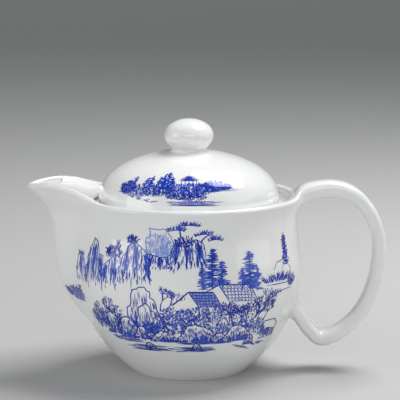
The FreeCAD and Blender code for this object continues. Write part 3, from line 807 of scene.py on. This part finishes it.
# Firs behind the cottages, and the far bank with its tower
for x, y, height, half, strength in ((9.6, 46.5, 18.0, 4.9, 1), (14.0, 46.5, 12.5, 3.9, 0.85),
                                     (5.4, 46.0, 10.5, 2.8, 0.8), (27.2, 44.5, 17.8, 5.4, 0.9),
                                     (31.0, 44.0, 12.0, 3.8, 0.75), (23.4, 45.0, 10.5, 3.2, 0.8)):
    fir((x, y), height, half, ink * strength)
tower((50.4, 53.2), 12.8, ink)
for y in np.arange(54, 66, 1.2):
    leaves((50.4, y), 2.2 - 0.1 * (y - 54), 0.7, 14, 1.4, deep, 1.5, 0.45)
brush(bent((41, 51.4), (43.4, 55), 0.2), 0.4, ink * 0.8)
brush(bent((43.2, 55), (49, 56), 0.2), 0.45, ink * 0.8, 0.7, 0.6)
brush(bent((49, 55.6), (46.5, 50.6), 0.2), 0.4, ink * 0.8)
brush(bent((52, 53.2), (54.6, 50), 0.2), 0.4, ink * 0.8)
reeds((43.5, 46.4), 8.0, 62, 4.6, ink)
leaves((45, 47.4), 6.5, 1.8, 52, 1.7, deep, 1.0, 0.45)
leaves((54.5, 45), 3.0, 2.6, 80, 1.9, deep, 0.5, 0.5)
brush(bent((36, 45.4), (55, 44.8), 0.3, 7), 0.5, ink * 0.8, 0.3, 0.3)
brush(bent((40, 41), (55, 42.2), 0.4, 7), 0.45, ink * 0.8, 0.3, 0.3)
leaves((43.5, 41.2), 3.2, 0.8, 26, 1.4, ink, 0.9, 0.45)

# Cottages among trees
cottage((12.4, 48.2), (27, 47.2), (17.4, 40.4), (6.6, 45.2), 5, 9, ink, 0)
cottage((-0.8, 45.2), (9.8, 45), (3.6, 38.4), (-8.2, 38.6), 5, 8, deep, 0.45)
boulder(-30.5, -12.4, 27.6, 19.2, peak, ink * 0.85)
boulder(-26.5, -12.8, 25, 14.0, peak, ink * 0.95)
twigs((-13.5, 36), 5.0, math.radians(75), 2, ink, 5)
twigs((-11, 35), 4.6, math.radians(62), 2, ink, 5)
for x, y, half, count in ((-9, 33, 4.6, 110), (-2.5, 32.5, 4.2, 100), (4, 33.4, 4.6, 115),
                          (10.5, 35, 4.4, 80), (17, 34.5, 4.4, 40), (23, 33, 4.8, 36), (29, 33, 4.8, 30)):
    leaves((x, y), half, 4.0, count // 4, 1.6, 0.34, 1.2, 1.1)
    leaves((x, y), half, 4.6, int(count * 1.4), 1.35, hand.uniform(0.75, 1.0), 1.3, 0.46)
for x, y, lean in ((20, 29, 105), (23, 28, 72), (27, 28, 95), (30, 29, 62), (33, 28, 84), (36, 29, 58),
                   (34, 33, 40), (17.5, 29, 84), (25, 28, 104), (31.5, 31, 70), (34, 34, 52)):
    twigs((x, y), 4.6, math.radians(lean), 2, deep, 4)
for x in range(-30, 38, 4):
    leaves((x, 27), 3.6, 2.6, 16, 1.6, 0.45, 1.0, 1.2)
    leaves((x, 27), 3.8, 3.4, 36, 1.3, deep, 1.1, 0.5)

# Left shore, boulders, the right bank and the water
reeds((-44, 26), 6.5, 40, 8.4, ink)
leaves((-43, 30), 5.0, 3.6, 26, 1.6, 0.3, 1.1, 1.1)
leaves((-43, 31), 5.0, 3.8, 80, 1.5, deep, 1.1, 0.45)
reeds((-38, 25.5), 4.5, 32, 11.0, ink)
leaves((-37.5, 33), 3.4, 3.8, 60, 1.5, deep, 1.0, 0.45)
twigs((-40, 30), 4.0, math.radians(100), 2, deep, 4)
twigs((-46, 27), 4.0, math.radians(118), 2, deep, 3)
leaves((-49, 26.5), 4.0, 3.0, 60, 1.5, ink, 0.9, 0.5)
twigs((-50.5, 24), 3.4, math.radians(108), 2, ink, 3)
boulder(-45, -33, 22.6, 11.0, hump, ink)
boulder(-36.5, -23, 21.6, 10.4, peak, ink * 0.9)
for left, right, y, height in ((-28.5, -15.5, 21.8, 6.4), (-20, -4.5, 21.0, 5.6), (-6.5, 14.5, 21.2, 8.8),
                               (9.5, 20, 20.8, 4.8), (15.5, 32.5, 20.6, 8.4)):
    boulder(left, right, y, height, hump, ink)
brush(bent((36, 28.4), (46, 28.6), 0.3, 6), 0.5, deep, 0.4, 0.8)
brush(bent((46, 28.6), (48.6, 26), 0.2), 0.5, deep, 0.8, 0.8)
brush(bent((48.6, 26), (47.6, 22.6), 0.2), 0.5, deep, 0.8, 0.5)
cliff([(38, 24), (42, 24.6), (47.5, 24)], 19.5, 0.6, deep, 1.5)
leaves((36.5, 24), 4.5, 2.2, 70, 1.3, ink, 1.0, 0.45)
boulder(28.5, 35, 18.0, 5.2, hump, ink)
ripples((-33.5, 20.8), 11, 0.9, 40, ink)
ripples((-22, 17.4), 16, 1.3, 70, deep)
boulder(-24, -17.5, 17.0, 3.2, peak, deep)
ripples((2, 17.3), 14, 1.1, 56, deep)
boulder(0.5, 6.4, 17.2, 3.4, hump, deep)
ripples((8, 20.6), 18, 0.6, 36, ink)
for i in range(4):
    brush(bent((22 + i * 2.2, 19.2 - i * 0.5), (27.5 + i * 2.4, 16.6 - i * 0.5), 0.1), 0.42, deep, 0.2, 0.2)
ripples((38, 17.8), 7, 0.8, 12, deep)

# Small clump low on the beak
leaves((-69.5, 35.5), 8.0, 2.2, 44, 1.8, 0.4, 1.0, 1.1)
leaves((-69.5, 35.8), 8.0, 3.0, 170, 1.9, deep, 1.0, 0.5)
twigs((-66, 36), 2.6, math.radians(80), 1, deep, 5)
brush(bent((-74, 33.2), (-61, 34), 0.3, 6), 0.55, ink, 0.3, 0.3)
twigs((-65, 33.4), 2.4, math.radians(95), 1, ink, 4)


def printed_sheet(name, marks):
    """The sheet of marks, flat in the XZ plane; each mark lies a hair above the one before it."""
    film, film_step, longest = 0.02, 0.00002, 1.0
    verts, faces, tones, lifts = [], [], [], []
    for order, (line, swell, tone) in enumerate(marks):
        walk = np.concatenate([[0], np.cumsum(np.linalg.norm(np.diff(line, axis=0), axis=1))])
        count = max(len(line), int(walk[-1] / longest) + 2)
        stops = np.linspace(0, walk[-1], count)
        middle = np.stack([np.interp(stops, walk, line[:, i]) for i in (0, 1)], -1)
        half = np.interp(stops, walk, swell) / 2
        along = np.gradient(middle, axis=0)
        along /= np.maximum(np.linalg.norm(along, axis=1), 1e-6)[:, None]
        across = np.stack([-along[:, 1], along[:, 0]], -1) * half[:, None]
        first = len(verts)
        for left, right in zip(middle + across, middle - across):
            verts += [(left[0] * MM, 0, left[1] * MM), (right[0] * MM, 0, right[1] * MM)]
        faces += [(k, k + 1, k + 3, k + 2) for k in range(first, first + 2 * count - 2, 2)]
        tones += [tone] * (2 * count)
        lifts += [(film + film_step * order) * MM] * (2 * count)
    mesh = bpy.data.meshes.new(name)
    mesh.from_pydata(verts, [], faces)
    for title, values in (("tone", tones), ("lift", lifts)):
        mesh.attributes.new(title, "FLOAT", "POINT").data.foreach_set("value", values)
    sheet = bpy.data.objects.new(name, mesh)
    bpy.context.scene.collection.objects.link(sheet)
    return sheet


def worked(tree, operation, first, second=0.0):
    """One sum on two values, or on the first alone."""
    return add_node(tree, "ShaderNodeMath", {0: first, 1: second}, operation=operation).outputs[0]


def laying_tree():
    """Lays a flat sheet on a round piece: sideways becomes a turn, and up becomes height or tilt."""
    tree = bpy.data.node_groups.new("lay_sheet_on_piece", "GeometryNodeTree")
    tree.interface.new_socket("Sheet", in_out="INPUT", socket_type="NodeSocketGeometry")
    for title, kind in (("Piece", "Object"), ("Turn Radius", "Float"), ("Turn", "Float"), ("Tilt", "Float"),
                        ("Focus Height", "Float"), ("Ink", "Material")):
        tree.interface.new_socket(title, in_out="INPUT", socket_type="NodeSocket" + kind)
    tree.interface.new_socket("Laid", in_out="OUTPUT", socket_type="NodeSocketGeometry")
    given = tree.nodes.new("NodeGroupInput").outputs
    spot = add_node(tree, "GeometryNodeInputPosition").outputs[0]
    flat = add_node(tree, "ShaderNodeSeparateXYZ", {0: spot}).outputs
    turn = worked(tree, "ADD", worked(tree, "DIVIDE", flat["X"], given["Turn Radius"]), given["Turn"])
    tilt = worked(tree, "MULTIPLY", flat["Z"], given["Tilt"])
    level = worked(tree, "COSINE", tilt)
    east = worked(tree, "MULTIPLY", worked(tree, "SINE", turn), level)
    north = worked(tree, "MULTIPLY", worked(tree, "COSINE", turn), level)
    south = worked(tree, "MULTIPLY", north, -1.0)
    rise = worked(tree, "SINE", tilt)
    away = add_node(tree, "ShaderNodeCombineXYZ", {"X": east, "Y": south, "Z": rise}).outputs[0]
    upright = worked(tree, "LESS_THAN", given["Tilt"], 0.001)
    height = worked(tree, "ADD", worked(tree, "MULTIPLY", flat["Z"], upright), given["Focus Height"])
    axis = add_node(tree, "ShaderNodeCombineXYZ", {"Z": height}).outputs[0]
    far = 0.2
    path = {0: away, 1: (far, far, far), 2: axis}
    start = add_node(tree, "ShaderNodeVectorMath", path, operation="MULTIPLY_ADD").outputs[0]
    back = add_node(tree, "ShaderNodeVectorMath", {0: away, "Scale": -1.0}, operation="SCALE").outputs[0]
    target = add_node(tree, "GeometryNodeObjectInfo", {"Object": given["Piece"]}).outputs["Geometry"]
    ray = {"Target Geometry": target, "Source Position": start, "Ray Direction": back, "Ray Length": far}
    hit = add_node(tree, "GeometryNodeRaycast", ray).outputs
    lift = add_node(tree, "GeometryNodeInputNamedAttribute", {"Name": "lift"}, data_type="FLOAT").outputs[0]
    above = {0: hit["Hit Normal"], "Scale": lift}
    raised = add_node(tree, "ShaderNodeVectorMath", above, operation="SCALE").outputs[0]
    both = {0: hit["Hit Position"], 1: raised}
    place = add_node(tree, "ShaderNodeVectorMath", both, operation="ADD").outputs[0]
    move = {"Geometry": given["Sheet"], "Position": place, "Selection": hit["Is Hit"]}
    laid = add_node(tree, "GeometryNodeSetPosition", move).outputs[0]
    whole = add_node(tree, "GeometryNodeRealizeInstances", {"Geometry": laid}).outputs[0]
    inking = {"Geometry": whole, "Material": given["Ink"]}
    inked = add_node(tree, "GeometryNodeSetMaterial", inking).outputs[0]
    tree.links.new(inked, tree.nodes.new("NodeGroupOutput").inputs[0])
    return tree


def made_plain(piece, tree, values):
    """Runs a tree on a piece with its named inputs, and keeps the result as a plain mesh."""
    modifier = piece.modifiers.new(tree.name, "NODES")
    modifier.node_group = tree
    for item in tree.interface.items_tree:
        if item.item_type == "SOCKET" and item.in_out == "INPUT" and item.name in values:
            modifier[item.identifier] = values[item.name]
    bpy.context.view_layer.update()
    graph = bpy.context.evaluated_depsgraph_get()
    seen = piece.evaluated_get(graph)
    result = bpy.data.meshes.new_from_object(seen, preserve_all_data_layers=True, depsgraph=graph)
    piece.modifiers.remove(modifier)
    piece.data = result
    result.shade_smooth()
    return piece


def cobalt(name):
    """Cobalt under the glaze: pale where the ink was thin, deep where it was full, and a little uneven."""
    material, tree, shader = fresh_finish(name)
    pale_blue, cobalt_blue, dark_blue = (0.36, 0.46, 0.8), (0.006, 0.055, 0.5), (0.001, 0.012, 0.28)
    effect = add_node(tree, "ShaderNodeGroup", node_tree=fired_glaze)
    where = add_node(tree, "ShaderNodeTexCoord").outputs["Object"]
    tone = add_node(tree, "ShaderNodeAttribute", attribute_name="tone").outputs["Fac"]
    uneven = spread(tree, noise(tree, where, 900.0, 3.0, 0.7), 0.25, 0.75, -0.16, 0.16)
    depth = worked(tree, "ADD", tone, uneven)
    thin_ink = blended(tree, spread(tree, depth, 0.05, 0.62, 0.0, 1.0), pale_blue, cobalt_blue)
    full_ink = blended(tree, spread(tree, depth, 0.6, 1.0, 0.0, 1.0), thin_ink, dark_blue)
    tree.links.new(full_ink, shader.inputs["Base Color"])
    sealed(tree, shader, effect, 0.1)
    return material


lay_sheet = laying_tree()
cobalt_ink = cobalt("underglaze_cobalt")
sheet_turn_radius = 51.0
sheet_rise = 1.3
front_turn = math.radians(0.9)
back_turn = math.pi + math.radians(10)
for title, turn in (("front_landscape", front_turn), ("back_landscape", back_turn)):
    landscape = printed_sheet(title, brush_marks)
    made_plain(landscape, lay_sheet, {
        "Piece": pot, "Turn Radius": sheet_turn_radius * MM, "Turn": turn, "Tilt": 0.0,
        "Focus Height": sheet_rise * MM, "Ink": cobalt_ink})
    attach(landscape, "pot")

# Lid
# A porcelain dome on a short rounded edge, with a locating skirt below that drops into the strainer.
# It is cast in one with its hollow inside, and glazed all over.
lid_low, lid_high = corners("lid_dome")
lid_radius, lid_crown = 41.0, lid_high[2] - rim_height
lid_wall = 2.8
lid_edge_height, lid_rest_radius = 76.8, 39.6
skirt_radius = 34.6
skirt_inner = skirt_radius - lid_wall
lid_bend = np.linspace(np.pi / 2, 0, 46)
lid_dome = np.stack([lid_radius * np.cos(lid_bend), rim_height + lid_crown * np.sin(lid_bend)], -1)
lid_edge = drawn_line(
    [(lid_radius, rim_height), (41.6, 79.6), (41.1, 77.9), (lid_rest_radius, lid_edge_height)], 14
)
lid_hollow_bend = np.linspace(math.acos(skirt_inner / (lid_radius - lid_wall)), np.pi / 2, 26)
lid_hollow = np.stack([(lid_radius - lid_wall) * np.cos(lid_hollow_bend),
                       rim_height + (lid_crown - lid_wall) * np.sin(lid_hollow_bend)], -1)
lid_skirt = eased(
    [(lid_rest_radius, lid_edge_height), (skirt_radius, lid_edge_height), (skirt_radius, lid_low[2]),
     (skirt_inner, lid_low[2]), (skirt_inner, lid_hollow[0][1]), tuple(lid_hollow[1])], 1.1
)
lid = turned("lid", np.vstack([lid_dome, lid_edge[1:], lid_skirt[1:-1], lid_hollow[1:]]))
lid.data.materials.append(white_glaze)
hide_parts("lid_dome")
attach(lid, "lid")

# Lid knob
# A flattened porcelain ball on a short neck, stuck to the top of the dome with slip before firing.
knob_high = corners("lid_knob")[1]
knob_radius = knob_high[0] + 0.3
knob_widest, knob_foot = 109.1, 101.4
knob_bend = np.linspace(np.pi / 2, 0, 24)
knob_cap = np.stack([knob_radius * np.cos(knob_bend),
                     knob_widest + (knob_high[2] - knob_widest) * np.sin(knob_bend)], -1)
knob_neck = drawn_line(
    [(knob_radius, knob_widest), (10.9, 107.1), (9.8, 105.2), (8.6, 103.6), (8.15, 102.8), (8.4, 102.15),
     (9.6, 101.6)], 30
)
knob_base = [(6.0, knob_foot), (0.0, knob_foot)]
knob = turned("lid_knob_ball", np.vstack([knob_cap, knob_neck[1:], knob_base]), 96)
knob.data.materials.append(white_glaze)
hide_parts("lid_knob")
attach(knob, "lid")

# Painting on the lid
# The same cobalt print on the dome's side, front and back: an island with a pavilion among trees, and
# the water round it.
brush_marks.clear()


def pavilion(left, right, eave, roof, post, tone):
    """A small open pavilion: a roof with upturned corners on thin posts."""
    middle = (left + right) / 2
    for share in np.linspace(0, 1, 6):
        half = (right - left) / 2 * (1 - 0.75 * share)
        y = eave + roof * share
        brush([(middle - half - 0.4, y + 0.5), (middle - half * 0.6, y), (middle + half * 0.6, y),
               (middle + half + 0.4, y + 0.5)], 0.6, tone, 0.3, 0.3)
    brush([(middle, eave + roof), (middle, eave + roof + 1.4)], 0.5, tone, 0.9, 0.3)
    for x in np.linspace(left + 0.9, right - 0.9, 5):
        brush(bent((x, eave), (x, eave - post), 0.08, 3), 0.4, tone, 0.9, 0.8)


leaves((-28.5, 7.2), 3.6, 2.4, 40, 1.5, 0.4, 1.0, 1.1)
leaves((-28.5, 7.4), 3.8, 2.8, 190, 1.5, deep, 0.9, 0.55)
fir((-26.5, 8.6), 5.6, 2.4, ink)
fir((-19.6, 8.6), 5.4, 2.2, ink * 0.9)
fir((-17.6, 8.0), 7.6, 2.4, ink)
for x, height in ((-13.4, 7.0), (-11.4, 9.2), (-9.4, 10.4), (-7.4, 7.4)):
    fir((x, 8.2), height, 2.3, ink)
pavilion(-4.2, 4.6, 13.0, 2.4, 3.6, ink)
for x, y, half, count in ((-22, 6.2, 4.0, 90), (-16, 7.0, 3.6, 100), (-11, 7.4, 4.0, 130),
                          (-5, 7.4, 4.5, 150), (1, 7.8, 4.5, 170), (6, 8.2, 3.6, 120), (10, 9.2, 3.2, 100)):
    leaves((x, y), half, 2.4, count // 4, 1.5, 0.34, 1.1, 1.1)
    leaves((x, y), half, 2.9, count, 1.3, hand.uniform(0.75, 1.0), 1.2, 0.48)
for x, height in ((8, 3.8), (10.4, 5.2), (12.8, 4.8), (15, 4.2), (17, 3.0), (18.6, 2.0)):
    fir((x, 8.6), height, 1.7, ink)
leaves((14, 8.8), 5.4, 1.0, 130, 1.2, deep, 1.0, 0.5)
ripples((14, 7.6), 9.0, 0.5, 24, deep)
for share in np.linspace(0, 1, 6):
    ripples((-30 + 14 * share, 5.4 - 3.0 * share), 4.0, 0.4, 9, deep)
leaves((-1, 4.4), 8.0, 1.2, 170, 1.1, deep, 1.0, 0.46)
ripples((1, 1.9), 13.0, 1.0, 60, deep)
leaves((2, 2.4), 5.0, 0.6, 70, 0.8, deep, 0.9, 0.48)
island_turn_radius = 36.0
dome_walk = 41.0        # up the sheet by this much tilts by one radian
for title, turn in (("lid_front_island", 0.0), ("lid_back_island", math.pi)):
    island = printed_sheet(title, brush_marks)
    made_plain(island, lay_sheet, {
        "Piece": lid, "Turn Radius": island_turn_radius * MM, "Turn": turn, "Tilt": 1 / (dome_walk * MM),
        "Focus Height": rim_height * MM, "Ink": cobalt_ink})
    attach(island, "lid")

# Strainer
# Stainless sheet: a flat rim that hangs on the seat ring, and a rolled sleeve and a pressed floor with
# punched holes. The sleeve is welded to the rim, and the floor is pressed in.


def brushed(name, along_height):
    """Brushed stainless sheet: fine scratches round the piece, a satin shine and a little tea stain."""
    material, tree, shader = fresh_finish(name)
    where = add_node(tree, "ShaderNodeTexCoord").outputs["Object"]
    stretch = (90.0, 90.0, 2600.0) if along_height else (1300.0, 1300.0, 90.0)
    laid = add_node(tree, "ShaderNodeMapping", {"Vector": where, "Scale": stretch}).outputs["Vector"]
    scratch = noise(tree, laid, 1.0, 4.0, 0.6)
    stain = spread(tree, noise(tree, where, 60.0, 4.0), 0.45, 0.75, 0.0, 0.55)
    sheen = blended(tree, spread(tree, scratch, 0.3, 0.7, 0.0, 1.0), (0.66, 0.66, 0.65), (0.52, 0.52, 0.515))
    tree.links.new(blended(tree, stain, sheen, (0.5, 0.46, 0.4)), shader.inputs["Base Color"])
    tree.links.new(spread(tree, scratch, 0.25, 0.75, 0.2, 0.36), shader.inputs["Roughness"])
    roughen(tree, shader, scratch, 0.35, 0.00004)
    shader.inputs["Metallic"].default_value = 1.0
    return material


rolled_steel = brushed("brushed_sleeve", True)
flat_steel = brushed("brushed_sheet", False)
flange_low, flange_high = corners("strainer_rim")
flange_radius = flange_high[0]
flange_bore = corners("strainer_wall")[1][0] - 0.4
flange_profile = [(flange_bore, flange_low[2]), (flange_radius, flange_low[2]),
                  (flange_radius, flange_high[2]), (flange_bore, flange_high[2])]
flange_profile = np.vstack([eased(flange_profile, 0.35), [flange_profile[0]]])
flange = turned("strainer_flange", flange_profile)
flange.data.materials.append(flat_steel)
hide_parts("strainer_rim")
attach(flange, "strainer")
for node, steel in (("strainer_wall", rolled_steel), ("strainer_floor", flat_steel)):
    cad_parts[node].data.materials.clear()
    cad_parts[node].data.materials.append(steel)

# Studio
# A plain pale sweep of paper under and behind the pot, a soft lamp overhead, and large dim ones in front
# and at the sides. These places and sizes are in metres.
sweep_points = drawn_line([(-3.4, 0), (-1.0, 0), (1.4, 0), (2.2, 0.1), (2.7, 0.6), (2.8, 2.4)], 90)
sweep_half = 4.0
sweep_verts = [(x, y, max(z, 0)) for y, z in sweep_points for x in (-sweep_half, sweep_half)]
sweep_faces = [(2 * i, 2 * i + 1, 2 * i + 3, 2 * i + 2) for i in range(len(sweep_points) - 1)]
sweep_mesh = bpy.data.meshes.new("paper_sweep")
sweep_mesh.from_pydata(sweep_verts, [], sweep_faces)
sweep_mesh.shade_smooth()
sweep = bpy.data.objects.new("paper_sweep", sweep_mesh)
bpy.context.scene.collection.objects.link(sweep)
paper, _, paper_shader = fresh_finish("pale_paper")
paper_shader.inputs["Base Color"].default_value = (0.5, 0.5, 0.495, 1)
paper_shader.inputs["Roughness"].default_value = 0.85
paper_shader.inputs["Specular IOR Level"].default_value = 0.2
sweep_mesh.materials.append(paper)


def soft_lamp(name, place, aim, size, power):
    lamp = bpy.data.lights.new(name, "AREA")
    lamp.shape = "RECTANGLE"
    lamp.size, lamp.size_y = size
    lamp.energy = power
    holder = bpy.data.objects.new(name, lamp)
    bpy.context.scene.collection.objects.link(holder)
    holder.location = place
    towards = bpy.context.scene.cursor.location.copy()
    towards.xyz = aim
    holder.rotation_euler = (towards - holder.location).to_track_quat("-Z", "Y").to_euler()


soft_lamp("overhead_softbox", (0.31, 0.2, 0.76), (0.02, 0, 0.07), (0.5, 0.42), 6.6)
soft_lamp("left_fill", (-1.9, -0.8, 0.6), (0, 0, 0.06), (1.5, 1.5), 16.0)
soft_lamp("front_fill", (0.2, -2.6, 1.0), (0, 0, 0.06), (2.4, 1.0), 20.0)
soft_lamp("right_fill", (2.0, -0.7, 0.5), (0, 0, 0.05), (1.6, 1.4), 7.0)
world = bpy.data.worlds.new("studio_air")
bpy.context.scene.world = world
world.use_nodes = True
world.node_tree.nodes["Background"].inputs["Color"].default_value = (0.93, 0.96, 1.0, 1)
world.node_tree.nodes["Background"].inputs["Strength"].default_value = 0.25

# Camera
# At the photograph's height: it looks down on the pot from the front, by between nine and ten degrees.
camera_rise = math.radians(9.5)
camera_distance = 1.0
camera_aim = np.array([5.06, 0, 78.84]) * MM
view_width = 184 * MM
camera = bpy.data.cameras.new("photo_view")
camera.sensor_width = 36.0
camera.lens = camera.sensor_width * camera_distance / view_width
photo_view = bpy.data.objects.new("photo_view", camera)
bpy.context.scene.collection.objects.link(photo_view)
towards_camera = np.array([0, -math.cos(camera_rise), math.sin(camera_rise)])
photo_view.location = camera_aim + camera_distance * towards_camera
photo_view.rotation_euler = (math.pi / 2 - camera_rise, 0, 0)
bpy.context.scene.camera = photo_view
bpy.context.scene.view_settings.view_transform = "Standard"
